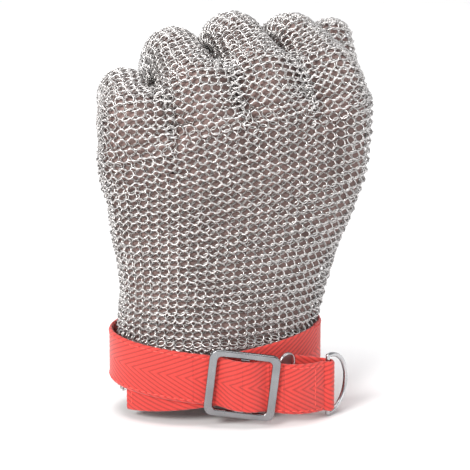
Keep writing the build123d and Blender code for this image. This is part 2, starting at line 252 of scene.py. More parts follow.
# --- materials -------------------------------------------------------------------------------------
class Finish:
    """A material under construction: a principled shader and short ways to feed it patterns."""

    def __init__(self, name, colour, roughness, metallic=0.0):
        self.material = bpy.data.materials.new(name)
        self.material.use_nodes = True
        self.material.diffuse_color = (*colour, 1.0)
        self.tree = self.material.node_tree
        self.shader = self.tree.nodes["Principled BSDF"]
        self.shader.inputs["Base Color"].default_value = (*colour, 1.0)
        self.shader.inputs["Roughness"].default_value = roughness
        self.shader.inputs["Metallic"].default_value = metallic
        self.colour = colour

    def node(self, kind, **values):
        made = self.tree.nodes.new(kind)
        for key, value in values.items():
            setattr(made, key, value)
        return made

    def link(self, output, socket):
        self.tree.links.new(output, socket)

    def noise(self, scale, detail=3.0, stretch=None):
        """Noise in the object's own coordinates; a larger scale is finer."""
        place = self.node("ShaderNodeTexCoord").outputs["Object"]
        if stretch:
            mapping = self.node("ShaderNodeMapping")
            mapping.inputs["Scale"].default_value = stretch
            self.link(place, mapping.inputs["Vector"])
            place = mapping.outputs["Vector"]
        made = self.node("ShaderNodeTexNoise")
        made.inputs["Scale"].default_value = scale
        made.inputs["Detail"].default_value = detail
        self.link(place, made.inputs["Vector"])
        return made.outputs["Fac"]

    def math(self, operation, first, second=None):
        made = self.node("ShaderNodeMath", operation=operation)
        for socket, value in zip(made.inputs, (first, second)):
            if isinstance(value, (int, float)):
                socket.default_value = value
            elif value is not None:
                self.link(value, socket)
        return made.outputs["Value"]

    def ranged(self, value, low, high, to_low, to_high):
        made = self.node("ShaderNodeMapRange")
        self.link(value, made.inputs["Value"])
        for key, number in zip(("From Min", "From Max", "To Min", "To Max"), (low, high, to_low, to_high)):
            made.inputs[key].default_value = number
        return made.outputs["Result"]

    def tones(self, value, stops):
        """A colour ramp whose stops are (place, share of the base colour)."""
        ramp = self.node("ShaderNodeValToRGB")
        self.link(value, ramp.inputs["Fac"])
        elements = ramp.color_ramp.elements
        while len(elements) < len(stops):
            elements.new(0.5)
        for element, (place, share) in zip(elements, stops):
            element.position = place
            element.color = (*[min(1.0, channel * share) for channel in self.colour], 1.0)
        return ramp.outputs["Color"]

    def multiplied(self, first, second):
        mixed = self.node("ShaderNodeMix", data_type="RGBA", blend_type="MULTIPLY")
        mixed.inputs[0].default_value = 1.0
        self.link(first, mixed.inputs[6])
        self.link(second, mixed.inputs[7])
        return mixed.outputs[2]

    def paint(self, colour=None, roughness=None):
        if colour:
            self.link(colour, self.shader.inputs["Base Color"])
        if roughness:
            self.link(roughness, self.shader.inputs["Roughness"])

    def bump(self, height, strength, distance):
        made = self.node("ShaderNodeBump")
        made.inputs["Strength"].default_value = strength
        made.inputs["Distance"].default_value = distance
        self.link(height, made.inputs["Height"])
        self.link(made.outputs["Normal"], self.shader.inputs["Normal"])


def ring_steel(settings):
    """Tumbled stainless wire: bright, with rings that differ a little in tone and polish."""
    finish = Finish("ring_steel", settings.steel_colour, 0.3, metallic=1.0)
    tone = finish.noise(260.0)
    fine = finish.noise(2600.0)
    finish.paint(
        colour=finish.tones(tone, [(0.3, 0.86), (0.55, 1.0), (0.75, 1.12)]),
        roughness=finish.ranged(tone, 0.3, 0.7, 0.24, 0.38))
    finish.bump(fine, 0.12, 0.00005)
    return finish.material


def shade_sheet_finish(settings):
    """Painted shade: a dark sheet behind the rings, in the tone of the shaded hand seen through them, with a
    fine knit-like bump.
    """
    finish = Finish("shade_sheet_finish", settings.shade_sheet_colour, 0.95)
    loops = finish.node("ShaderNodeTexVoronoi", feature="DISTANCE_TO_EDGE")
    loops.inputs["Scale"].default_value = 900.0
    finish.link(finish.node("ShaderNodeTexCoord").outputs["Object"], loops.inputs["Vector"])
    cloud = finish.noise(60.0)
    finish.paint(colour=finish.tones(cloud, [(0.3, 0.75), (0.7, 1.3)]),
                 roughness=finish.ranged(cloud, 0.3, 0.7, 0.88, 1.0))
    finish.bump(loops.outputs["Distance"], 0.5, 0.0003)
    return finish.material


def woven_webbing(settings):
    """Herringbone webbing: ribs with a painted highlight on their crests and painted shade in the grooves,
    threads across each rib, and slight fading.
    """
    finish = Finish("woven_webbing", settings.webbing_colour, 0.72)
    place = finish.node("ShaderNodeUVMap", uv_map="weave")
    parts = finish.node("ShaderNodeSeparateXYZ")
    finish.link(place.outputs["UV"], parts.inputs["Vector"])
    run, rise = parts.outputs["X"], parts.outputs["Y"]
    pitch = settings.rib_pitch / MM
    half = finish.math("ABSOLUTE", finish.math("SUBTRACT", rise, WEBBING_WIDTH / 2))
    up = finish.math("MULTIPLY", half, math.cos(settings.rib_angle) / pitch)
    on = finish.math("MULTIPLY", run, math.sin(settings.rib_angle) / pitch)
    rib = finish.math("FRACT", finish.math("SUBTRACT", finish.math("ADD", up, 1000.0), on))
    across = finish.math("ABSOLUTE", finish.math("SUBTRACT", rib, 0.5))
    # Painted highlight on the rib crests and painted shade in the grooves between them.
    groove = finish.tones(across, [(0.0, 1.15), (0.3, 0.95), (0.5, 0.55)])
    thread = finish.math("FRACT", finish.math("MULTIPLY", finish.math("ADD", run, half), 1.9))
    thread = finish.math("ABSOLUTE", finish.math("SUBTRACT", thread, 0.5))
    fade = finish.noise(45.0)
    fuzz = finish.noise(1800.0)
    grain = finish.node("ShaderNodeValToRGB")
    grain.color_ramp.elements[0].color = (0.80, 0.78, 0.78, 1.0)
    grain.color_ramp.elements[1].position = 0.5
    grain.color_ramp.elements[1].color = (1.0, 1.0, 1.0, 1.0)
    finish.link(thread, grain.inputs["Fac"])
    worn = finish.node("ShaderNodeValToRGB")
    worn.color_ramp.elements[0].position = 0.3
    worn.color_ramp.elements[0].color = (0.88, 0.88, 0.88, 1.0)
    worn.color_ramp.elements[1].position = 0.7
    worn.color_ramp.elements[1].color = (1.0, 1.0, 1.0, 1.0)
    finish.link(fade, worn.inputs["Fac"])
    colour = finish.multiplied(finish.multiplied(groove, grain.outputs["Color"]), worn.outputs["Color"])
    finish.paint(colour=colour, roughness=finish.ranged(fuzz, 0.3, 0.7, 0.62, 0.82))
    height = finish.math("ADD", finish.math("MULTIPLY", thread, 0.6), finish.math("MULTIPLY", fuzz, 0.8))
    finish.bump(height, 0.45, 0.0001)
    finish.shader.inputs["Sheen Weight"].default_value = 0.25
    finish.shader.inputs["Sheen Roughness"].default_value = 0.5
    return finish.material


def stitch_thread(settings):
    finish = Finish("stitch_thread", settings.thread_colour, 0.6)
    fuzz = finish.noise(2200.0)
    finish.paint(colour=finish.tones(fuzz, [(0.3, 0.75), (0.7, 1.1)]),
                 roughness=finish.ranged(fuzz, 0.3, 0.7, 0.5, 0.7))
    finish.bump(fuzz, 0.4, 0.00008)
    return finish.material


def rolled_steel(name, colour, rough, grain):
    """Plated steel with a faint drawn grain, scuffs and dulled patches."""
    finish = Finish(name, colour, rough, metallic=1.0)
    drawn = finish.noise(grain, detail=4.0, stretch=(1.0, 1.0, 0.08))
    patch = finish.noise(140.0)
    finish.paint(
        colour=finish.tones(patch, [(0.3, 0.82), (0.55, 1.0), (0.75, 1.15)]),
        roughness=finish.ranged(finish.math("ADD", drawn, patch), 0.6, 1.4, rough - 0.08, rough + 0.12))
    finish.bump(drawn, 0.18, 0.00006)
    return finish.material


def repaint(node, material):
    """Give a CAD node its finish."""
    body = frame["nodes"][node]
    if not body.material_slots:
        body.data.materials.append(material)
    for slot in body.material_slots:
        slot.material = material


def material_once(name, maker, *settings):
    return bpy.data.materials.get(name) or maker(*settings)


# --- meshes ----------------------------------------------------------------------------------------
def unit(vectors):
    return vectors / np.linalg.norm(vectors, axis=-1, keepdims=True)


def quad_mesh(name, points, quads, material):
    """A smooth mesh object from points in millimetres and quads."""
    mesh = bpy.data.meshes.new(name)
    mesh.vertices.add(len(points))
    mesh.vertices.foreach_set("co", (points * MM).astype(np.float32).ravel())
    mesh.loops.add(4 * len(quads))
    mesh.loops.foreach_set("vertex_index", quads.astype(np.int32).ravel())
    mesh.polygons.add(len(quads))
    mesh.polygons.foreach_set("loop_start", np.arange(0, 4 * len(quads), 4, dtype=np.int32))
    mesh.update(calc_edges=True)
    mesh.shade_smooth()
    mesh.materials.append(material)
    made = bpy.data.objects.new(name, mesh)
    bpy.context.scene.collection.objects.link(made)
    return made


def looped_quads(rows, columns, close_rows=True, close_columns=True):
    """Quads of a grid of points that closes on itself in either direction."""
    index = np.arange(rows * columns).reshape(rows, columns)
    right = np.roll(index, -1, axis=1)
    below = np.roll(index, -1, axis=0)
    corner = np.roll(right, -1, axis=0)
    quads = np.stack([index, right, corner, below], axis=-1)
    quads = quads[: None if close_rows else -1, : None if close_columns else -1]
    return quads.reshape(-1, 4)


def scattered(name, template, quads, centres, frames, material):
    """Copies of one small closed shape, each in its own frame, as one object."""
    points = centres[:, None, :] + np.einsum("pk,mkj->mpj", template, frames)
    step = np.arange(len(centres))[:, None, None] * len(template)
    return quad_mesh(name, points.reshape(-1, 3), (quads[None] + step).reshape(-1, 4), material)


def smooth_levels(heights):
    """The hand's centre, half width and half depth at any heights, on smooth curves through HAND_LEVELS."""
    knots = HAND_LEVELS[:, 0]
    values = HAND_LEVELS[:, 1:]
    slopes = np.gradient(values, knots, axis=0)
    slopes[:2] = 0.0
    heights = np.clip(heights, knots[0], knots[-1])
    index = np.clip(np.searchsorted(knots, heights, side="right") - 1, 0, len(knots) - 2)
    span = (knots[index + 1] - knots[index])[..., None]
    t = (heights[..., None] - knots[index][..., None]) / span
    return (
        (2 * t**3 - 3 * t**2 + 1) * values[index] + (t**3 - 2 * t**2 + t) * span * slopes[index]
        + (3 * t**2 - 2 * t**3) * values[index + 1] + (t**3 - t**2) * span * slopes[index + 1]
    )


def spread_evenly(across, out, fractions):
    """Points at even fractions of the length of a closed outline."""
    length = np.concatenate([[0], np.cumsum(np.hypot(np.diff(across), np.diff(out)))])
    wanted = np.mod(fractions, 1.0) * length[-1]
    return np.interp(wanted, length, across), np.interp(wanted, length, out)


def even_outline(half_width, half_depth, fractions):
    """Points (across, out) of an oval outline at even fractions of its length."""
    turn = np.linspace(0, 2 * math.pi, OUTLINE_STEPS + 1)
    return spread_evenly(half_width * np.cos(turn), half_depth * np.sin(turn), fractions)


class Section:
    """One cross-section of a stall: where it is, which way it faces and its outline. A fitted section takes
    its outline from the fabric's whole surface, as far as the planes halfway to the neighbouring stalls."""

    def __init__(self, centre, way, back, half_width, half_depth, climb=0.0):
        self.centre = np.array(centre, float)
        self.way = unit(np.array(way, float))
        back = np.array(back, float)
        self.back = unit(back - self.way * (back @ self.way))
        self.across = np.cross(self.back, self.way)
        self.half_width = half_width
        self.half_depth = half_depth
        self.climb = climb
        self.limits = None
        self.fitted = {}
        self.open_step = 0.0  # length of fabric to the next section once the joint is straight

    def fitted_outline(self, inset):
        """Points (across, out) where the fabric's surface cuts this section's plane."""
        turn = np.linspace(0, 2 * math.pi, FIT_STEPS + 1)
        flat = np.stack([np.cos(turn), np.sin(turn)], axis=1)
        ways = flat[:, :1] * self.across + flat[:, 1:] * self.back
        reach = np.full(len(turn), self.half_width - inset)
        low, high = self.limits
        with np.errstate(divide="ignore"):
            most = np.where(flat[:, 0] > 0, high / flat[:, 0], low / flat[:, 0])
            palm_side = np.where(flat[:, 1] < 0, (inset - self.half_depth) / flat[:, 1], np.inf)
        most = np.clip(np.minimum(most, palm_side), 1.0, 1.6 * self.half_width)
        for _ in range(9):
            depth = fabric_depth(self.centre + reach[:, None] * ways)
            reach = np.clip(reach - 0.85 * (depth + inset), 1.0, most)
        return reach * flat[:, 0], reach * flat[:, 1]

    def outline(self, fractions, inset):
        if self.limits is None:
            return even_outline(self.half_width - inset, self.half_depth - inset, fractions)
        if inset not in self.fitted:
            self.fitted[inset] = self.fitted_outline(inset)
        return spread_evenly(*self.fitted[inset], fractions)

    def points(self, fractions, inset):
        across, out = self.outline(fractions, inset)
        points = self.centre + across[:, None] * self.across + out[:, None] * self.back
        points[:, 2] += self.climb * (points[:, 0] - self.centre[0])
        return points


def hand_points(fractions, share, inset):
    """Points of the hand's outline, share of the way from the hem to the sloping crown."""
    across, _ = even_outline(*CROWN_OUTLINE, fractions)
    crown = CROWN_LEVEL + CROWN_CLIMB * (4.6 + across)
    height = HEM_TOP + (crown - HEM_TOP) * share
    places = np.empty((len(fractions), 3))
    for i, (fraction, z) in enumerate(zip(fractions, height)):
        x, y, half_width, half_depth = smooth_levels(np.array([z]))[0]
        ax, ay = even_outline(half_width - inset, half_depth - inset, np.array([fraction]))
        places[i] = (x + ax[0], y + ay[0], z)
    return places


def inside_thumb_base(points):
    """Which points lie deeper than THUMB_OVERLAP inside the cone of the thumb's base."""
    root = np.array(THUMB_ROOT)
    corner = joint_place("thumb_open")
    way = corner - root
    length = np.linalg.norm(way)
    way = way / length
    along = (points - root) @ way
    off = np.linalg.norm(points - root - along[:, None] * way, axis=1)
    radius = THUMB_RADII[0] + (THUMB_RADII[1] - THUMB_RADII[0]) * np.clip(along / length, 0, 1)
    return (along > 0) & (along < length) & (off < radius - THUMB_OVERLAP)


def joint_place(name):
    return np.array(JOINTS[name]["pos_m"]) / MM


def smooth_min(first, second, fill):
    """The lesser of two distances, with the crease where they are equal filled."""
    near = np.clip(fill - np.abs(first - second), 0, None) / fill
    return np.minimum(first, second) - near**2 * fill / 4


def away_from_line(points, line, radii):
    """Distance from a rounded limb, given by points along its middle and its radius at each."""
    away = np.linalg.norm(points[:, None, :] - line[None], axis=2) - radii
    return away.min(axis=1)


def fabric_depth(points):
    """How far points lie outside the fabric's outer face; negative inside."""
    x, y, half_width, half_depth = smooth_levels(points[:, 2]).T
    ax, ay = points[:, 0] - x, points[:, 1] - y
    scaled = np.hypot(ax / half_width, ay / half_depth)
    hand = scaled * (scaled - 1) / np.hypot(ax / half_width**2, ay / half_depth**2).clip(1e-6)
    places = [joint_place(f"{name}_knuckle_bend")[0] for name in FINGERS]
    top = np.interp(points[:, 0], places, [LIMBS[name]["top"] for name in FINGERS]) + HAND_CAP
    hand = -smooth_min(-hand, top - points[:, 2], HAND_CAP)
    fill = np.interp(points[:, 1], FILL_FADES, (KNUCKLE_FILL, STALL_FILL))
    fingers = None
    for name in FINGERS:
        away = away_from_line(points, LIMBS[name]["line"], LIMBS[name]["radii"])
        fingers = away if fingers is None else smooth_min(fingers, away, fill)
    joined = smooth_min(fingers, hand, CROWN_FILL)
    thumb = away_from_line(points, LIMBS["thumb"]["line"], LIMBS["thumb"]["radii"])
    return smooth_min(joined, thumb, THUMB_FILL)


def measure_limbs(step=1.3):
    """Middle line and radii of each digit, as far as its first stall, for fabric_depth."""
    for name in FINGERS:
        leg, bend, stall = finger_root(name, step)
        run = leg + bend + stall
        LIMBS[name] = dict(
            line=np.array([s.centre for s in run]), radii=np.array([s.half_width for s in run]),
            top=joint_place(f"{name}_knuckle_bend")[2] - knuckle_reach(name))
    root, corner = np.array(THUMB_ROOT), joint_place("thumb_open")
    shares = np.linspace(0, 1, 40)
    LIMBS["thumb"] = dict(line=root + (corner - root) * shares[:, None],
                          radii=THUMB_RADII[0] + (THUMB_RADII[1] - THUMB_RADII[0]) * shares)


def limit_sections(name, sections, side_lap):
    """Let sections take their outline from the whole fabric, up to halfway to each neighbouring finger."""
    order = list(FINGERS)
    place = order.index(name)
    neighbours = [order[i] for i in (place - 1, place + 1) if 0 <= i < len(order)]
    for section in sections:
        low, high = -100.0, 100.0
        for neighbour in neighbours:
            line, radii = LIMBS[neighbour]["line"], LIMBS[neighbour]["radii"]
            away = line - section.centre
            nearest = np.argmin(np.linalg.norm(away, axis=1))
            aside = away[nearest] @ section.across
            halfway = aside * section.half_width / (section.half_width + radii[nearest])
            if aside > 0:
                high = min(high, halfway)
            else:
                low = max(low, halfway)
        section.limits = (low - side_lap, high + side_lap)


def settle(spots):
    """Move ring spots to the fabric's surface, and drop those that would move further than MOST_SETTLED."""
    centres, rows, outs, tilts = spots.joined()
    start = centres.copy()
    for _ in range(5):
        centres = centres - outs * (fabric_depth(centres) + RING_INSET).clip(-2.0, 0.5)[:, None] * 0.9
    moved = np.linalg.norm(centres - start, axis=1)
    keep = (moved < MOST_SETTLED) & (fabric_depth(centres) > -RING_INSET - 0.7)
    settled = RingSpots()
    settled.add(centres[keep], rows[keep], surface_outs(centres[keep], outs[keep]), tilts[keep])
    return settled


def surface_outs(points, outs):
    """Outward directions of the fabric's surface at points; outs gives their rough sense."""
    near = 0.6
    slopes = np.stack([
        fabric_depth(points + step) - fabric_depth(points - step) for step in np.eye(3) * near], axis=1)
    length = np.linalg.norm(slopes, axis=1, keepdims=True)
    return np.where(length > near, slopes / length.clip(1e-6), outs)


class RingSpots:
    """Where each ring of a piece sits: its centre, the direction of its row, the outward direction and which
    way it tilts."""

    def __init__(self):
        self.parts = []

    def add(self, centres, rows, outs, tilts):
        self.parts.append((centres, rows, outs, tilts))

    def joined(self):
        return [np.concatenate(part) for part in zip(*self.parts)]

    def chosen(self, test):
        """The spots for which test(centres) holds."""
        made = RingSpots()
        joined = self.joined()
        keep = test(joined[0])
        made.add(*(part[keep] for part in joined))
        return made


def spots_on_sections(sections, columns, row_pitch, first_row=0):
    """Ring spots on a run of sections. Rows are staggered, and crowded rows inside a bend are thinned."""
    spots = RingSpots()
    gone = np.full(columns, row_pitch)
    before = None
    for row, section in enumerate(sections, first_row):
        fractions = (np.arange(columns) + 0.5 * (row % 2)) / columns
        at = section.points(fractions, RING_INSET)
        if before is not None:
            step = np.linalg.norm(at - before.points(fractions, RING_INSET), axis=1)
            gone += np.maximum(step, section.open_step)
        keep = gone > CROWDED * row_pitch
        gone[keep] = 0
        before = section
        if section.limits is not None:
            folded_in = (at - section.centre) @ section.back < -FOLDED_SIDE * section.half_width
            keep = keep & (folded_in | (fabric_depth(at) > -RING_INSET - BURIED))
        rows = unit(section.points(fractions + SMALL_TURN, RING_INSET) - at)
        outs = unit(np.cross(rows, section.way))
        inward = np.sum(outs * (at - section.centre), axis=1) < 0
        outs[inward] *= -1
        if section.limits is not None:
            outs = surface_outs(at, outs)
        tilts = np.full(columns, 1.0 if row % 2 else -1.0)
        spots.add(at[keep], rows[keep], outs[keep], tilts[keep])
    return spots


def add_dome_spots(spots, centre, way, back, radius, settings, first_row):
    """Rings over the round end of a stall, in ever smaller rows."""
    radius = radius - RING_INSET
    row_pitch, column_pitch = settings.row_pitch / MM, settings.column_pitch / MM
    side = np.cross(back, way)
    count = int(round(radius * math.pi / 2 / row_pitch))
    for i in range(count):
        polar = (i + 0.5) / count * math.pi / 2
        ring_radius = radius * math.cos(polar)
        columns = max(1, int(round(2 * math.pi * ring_radius / column_pitch)))
        turn = (np.arange(columns) + 0.5 * (i % 2)) / columns * 2 * math.pi
        flat = np.cos(turn)[:, None] * side + np.sin(turn)[:, None] * back
        outs = flat * math.cos(polar) + way * math.sin(polar)
        rows = -np.sin(turn)[:, None] * side + np.cos(turn)[:, None] * back
        tilts = np.full(columns, 1.0 if (first_row + i) % 2 else -1.0)
        spots.add(centre + outs * radius, rows, outs, tilts)


def ring_mesh(name, spots, settings, seed):
    """The rings of one piece of fabric, as separate closed wires in one object."""
    centres, rows, outs, signs = spots.joined()
    rows = unit(rows)
    chance = np.random.default_rng(seed)
    count = len(centres)
    tilt = signs * settings.tilt + chance.normal(0, settings.unevenness, count)
    lean = settings.lean + chance.normal(0, settings.unevenness, count)
    outs = unit(outs - rows * np.sum(outs * rows, axis=1, keepdims=True))
    ups = np.cross(outs, rows)
    second = ups * np.cos(tilt)[:, None] + outs * np.sin(tilt)[:, None]
    axis = np.cross(rows, second)
    first = rows * np.cos(lean)[:, None] + axis * np.sin(lean)[:, None]
    axis = np.cross(first, second)
    frames = np.stack([first, second, axis], axis=1)
    turn = np.arange(ROUND_RING) * 2 * math.pi / ROUND_RING
    roll = np.arange(ROUND_WIRE) * 2 * math.pi / ROUND_WIRE
    radius, wire = settings.ring_radius / MM, settings.ring_wire / MM / 2
    reach = radius + wire * np.cos(roll)[None, :]
    template = np.stack([
        reach * np.cos(turn)[:, None], reach * np.sin(turn)[:, None],
        np.broadcast_to(wire * np.sin(roll)[None, :], (ROUND_RING, ROUND_WIRE))], axis=-1)
    quads = looped_quads(ROUND_RING, ROUND_WIRE)
    centres = centres + chance.normal(0, 0.06, centres.shape)
    steel = material_once("ring_steel", ring_steel, settings)
    made = scattered(name, template.reshape(-1, 3), quads, centres, frames, steel)
    return made


def shade_sheet(name, outer, inner, settings):
    """A thin closed tube of painted shade behind the rings, from an outer and an inner grid of points."""
    grid = np.concatenate([outer, inner[::-1]])
    rows, columns = grid.shape[:2]
    made = quad_mesh(name, grid.reshape(-1, 3), looped_quads(rows, columns)[:, ::-1],
                     material_once("shade_sheet_finish", shade_sheet_finish, settings))
    return made


def shifted(section, by):
    """The same section, moved along its own way."""
    made = Section(section.centre + section.way * by, section.way, section.back, section.half_width,
                   section.half_depth, section.climb)
    made.limits = section.limits
    return made


# A stall's dark sheet of painted shade behind its rings.
def section_shade_sheet(name, sections, settings):
    fractions = np.arange(SHADE_SHEET_ROUND) / SHADE_SHEET_ROUND
    half_step = np.linalg.norm(sections[1].centre - sections[0].centre) / 2 + SHADE_SHEET_LAP
    sections = [shifted(sections[0], -half_step), *sections]
    if sections[-1].half_width > 2 * SHADE_SHEET_INSET:
        sections.append(shifted(sections[-1], half_step))
    outer = np.array([section.points(fractions, SHADE_SHEET_INSET) for section in sections])
    inner = np.array([section.points(fractions, SHADE_SHEET_INSET + SHADE_SHEET_THICKNESS) for section in sections])
    return shade_sheet(name, outer, inner, settings)


# --- the hand --------------------------------------------------------------------------------------
def hand_columns(settings):
    return int(round(HAND_GIRTH / (settings.column_pitch / MM)))


def hand_spots(settings):
    """Ring spots from the hem to the knuckles; the rows tilt more and more towards the knuckles' slope."""
    columns = hand_columns(settings)
    rows = crown_rows(settings)
    spots = RingSpots()
    last_rows = np.array([knuckle_row(name, settings) for name in FINGERS])
    for row in range(last_rows.max()):
        share = (row + 0.5) / rows
        fractions = (np.arange(columns) + 0.5 * (row % 2)) / columns
        at = hand_points(fractions, share, RING_INSET)
        ahead = hand_points(fractions + SMALL_TURN, share, RING_INSET)
        above = hand_points(fractions, share + 0.01, RING_INSET)
        along_row = unit(ahead - at)
        outs = unit(np.cross(along_row, unit(above - at)))
        keep = row < last_rows[finger_of(at)]
        tilts = np.full(columns, 1.0 if row % 2 else -1.0)
        spots.add(at[keep], along_row[keep], outs[keep], tilts[keep])
    return settle(spots.chosen(lambda centres: ~inside_thumb_base(centres)))


def finger_of(points):
    """Index of the finger that each point of the hand's outline leads up to."""
    places = [joint_place(f"{name}_knuckle_bend")[0] for name in FINGERS]
    return np.searchsorted((np.array(places[1:]) + places[:-1]) / 2, points[:, 0])


def crown_rows(settings):
    return int(round((CROWN_LEVEL - HEM_TOP) / (settings.row_pitch / MM)))


def knuckle_row(name, settings):
    """Number of rows of the hand's mesh up to where a finger's knuckle starts to bend."""
    crown = CROWN_LEVEL + CROWN_CLIMB * joint_place(f"{name}_knuckle_bend")[0]
    return int(round(crown_rows(settings) * (LIMBS[name]["top"] - HEM_TOP) / (crown - HEM_TOP)))


def below_crown(points):
    return points[:, 2] < CROWN_LEVEL + CROWN_CLIMB * points[:, 0]


def hem_spots(settings):
    columns = hand_columns(settings)
    rows = int(round((HEM_LAST_ROW - HEM_FIRST_ROW) / (settings.row_pitch / MM)))
    step = (HEM_LAST_ROW - HEM_FIRST_ROW) / rows
    sections = [
        Section((0, 0, HEM_FIRST_ROW + step * (row + 0.5)), (0, 0, 1), (0, -1, 0),
                HEM_HALF_WIDTH - HEM_INSET + RING_INSET, HEM_HALF_DEPTH - HEM_INSET + RING_INSET)
        for row in range(rows)
    ]
    return spots_on_sections(sections, columns, step)


class GLOVE_OT_hand(bpy.types.Operator):
    """Ring mesh of the wrist hem, the back of the hand and the palm, with a dark sheet of painted shade
    behind it
    """
    bl_idname = "glove.hand"
    bl_label = "Hand and Hem"

    def execute(self, context):
        settings = context.scene.glove_mesh
        spots = hand_spots(settings).chosen(below_crown)
        back = ring_mesh("back_of_hand_rings", spots.chosen(lambda c: c[:, 1] < SIDE_SEAM), settings, 1)
        palm = ring_mesh("palm_rings", spots.chosen(lambda c: c[:, 1] >= SIDE_SEAM), settings, 2)
        hem = ring_mesh("wrist_hem_rings", hem_spots(settings), settings, 3)
        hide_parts("back_of_hand_mesh")
        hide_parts("palm_mesh")
        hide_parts("wrist_hem_mesh")
        # The hand's dark sheet of painted shade behind its rings.
        fractions = np.arange(SHADE_SHEET_ROUND * 2) / (SHADE_SHEET_ROUND * 2)
        shares = np.linspace(*HAND_SHADE_SHEET_SPAN, HAND_SHADE_SHEET_ROWS)
        outer = np.array([hand_points(fractions, share, SHADE_SHEET_INSET) for share in shares])
        inner = np.array([hand_points(fractions, share, SHADE_SHEET_INSET + SHADE_SHEET_THICKNESS) for share in shares])
        inside = shade_sheet("hand_shade_sheet", outer, inner, settings)
        for piece in (back, palm, hem, inside):
            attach(piece, "hand")
        return {"FINISHED"}


# --- fingers and thumb -----------------------------------------------------------------------------
def straight_run(start, end, back, radius_0, radius_1, step):
    """Sections along a straight stall."""
    start, end = np.array(start), np.array(end)
    count = max(2, int(round(np.linalg.norm(end - start) / step)))
    shares = (np.arange(count) + 0.5) / count
    return [
        Section(start + (end - start) * share, end - start, back, radius, radius)
        for share, radius in zip(shares, radius_0 + (radius_1 - radius_0) * shares)
    ]


def turned(vector, axis, angle):
    return np.array(Matrix.Rotation(angle, 3, Vector(axis)) @ Vector(vector))


class BentRun(list):
    """Sections round a joint, reach to each side of its corner. step is taken on the outside of the bend."""

    def __init__(self, corner, way_in, axis, turn, reach, radius, back, step):
        self.way_in, self.turn = way_in, turn
        self.inward = turned(way_in, axis, math.pi / 2)
        hinge_radius = reach / math.tan(turn / 2)
        self.hinge = corner - way_in * reach + self.inward * hinge_radius
        count = max(3, int(round(turn * (hinge_radius + radius - RING_INSET) / step)))
        for i in range(count):
            angle = turn * (i + 0.5) / count
            centre = self.hinge - turned(self.inward, axis, angle) * hinge_radius
            section = Section(centre, turned(way_in, axis, angle), turned(back, axis, angle), radius, radius)
            section.open_step = 2 * reach / count
            self.append(section)

    def shares(self, points):
        """How far round the bend each point lies, from 0 to 1."""
        away = points - self.hinge
        angle = np.arctan2(away @ self.way_in, -(away @ self.inward))
        if self.turn > math.pi / 2:
            angle = np.where(angle < self.turn / 2 - math.pi, angle + 2 * math.pi, angle)
        return np.clip(angle / self.turn, 0, 1)


def closing_axis(joint):
    return -unit(np.array(JOINTS[joint]["axis"], float))


def full_turn(joint):
    return math.radians(JOINTS[joint]["range_deg"][1])


def end_cap(sections, centre, radius):
    """Sections over the round end of a stall's sheet of painted shade, down to almost a point."""
    last = sections[-1]
    capped = []
    for polar in np.radians((20, 40, 58, 72, 82)):
        size = SHADE_SHEET_INSET + SHADE_SHEET_THICKNESS + (radius - SHADE_SHEET_INSET - SHADE_SHEET_THICKNESS) * math.cos(polar)
        place = centre + last.way * (radius - SHADE_SHEET_INSET) * math.sin(polar)
        capped.append(Section(place, last.way, last.back, size, size))
    return capped


def make_piece(node, sections, settings, seed, dome=None, sheet_sections=None, also=None, first_row=0, settled=False):
    """Rings and the dark sheet of painted shade behind them, standing for one CAD node. dome is the (centre,
    radius) of a closed end, sheet_sections the sections that the sheet of painted shade follows where they
    differ, and also more ring spots of the same piece. Settled rings follow the surface where the piece runs
    into the hand."""
    row_pitch, column_pitch = settings.row_pitch / MM, settings.column_pitch / MM
    ends = np.linspace(0, 1, 49)[:-1]
    girth = np.mean([
        np.linalg.norm(np.diff(s.points(ends, RING_INSET), axis=0, append=s.points(ends[:1], RING_INSET)),
                       axis=1).sum() for s in sections[:: max(1, len(sections) // 3)]])
    spots = spots_on_sections(sections, int(round(girth / column_pitch)), row_pitch, first_row)
    sheet_sections = sheet_sections or sections
    if dome:
        last = sections[-1]
        add_dome_spots(spots, dome[0], last.way, last.back, dome[1], settings, first_row + len(sections))
        sheet_sections = sections + end_cap(sections, *dome)
    if settled:
        spots = settle(spots)
    if also:
        spots.add(*also.joined())
    rings = ring_mesh(node.replace("_mesh", "") + "_rings", spots, settings, seed)
    inside = section_shade_sheet(node.replace("_mesh", "") + "_lining", sheet_sections, settings)
    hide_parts(node)
    return rings, inside


def ride_all(pieces, body):
    for piece in pieces:
        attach(piece, body)


def blend_all(pieces, bend):
    """Work out where the rings and the sheet of painted shade would lie along the bend between two bodies,
    then put them back as they were.
    """
    start, end = bend[0].centre * MM, bend[-1].centre * MM
    for piece, turning_as_one in zip(pieces, (ROUND_RING * ROUND_WIRE, 1)):
        rest = np.empty(3 * len(piece.data.vertices), np.float32)
        piece.data.vertices.foreach_get("co", rest)
        centres = rest.reshape(-1, turning_as_one, 3).mean(axis=1) / MM
        shares = np.repeat(bend.shares(centres), turning_as_one)
        eased = 0.5 - np.sin(np.arcsin(1 - 2 * shares) / 3)
        laid = start + eased[:, None] * (end - start)
        piece.data.vertices.foreach_set("co", laid.astype(np.float32).ravel())
        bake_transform(piece)
        piece.data.vertices.foreach_set("co", rest)
        piece.data.update()


def knuckle_reach(name):
    turn = full_turn(f"{name}_knuckle_bend")
    return (FINGERS[name]["radii"][0] + BEND_SLACK) * math.tan(turn / 2)


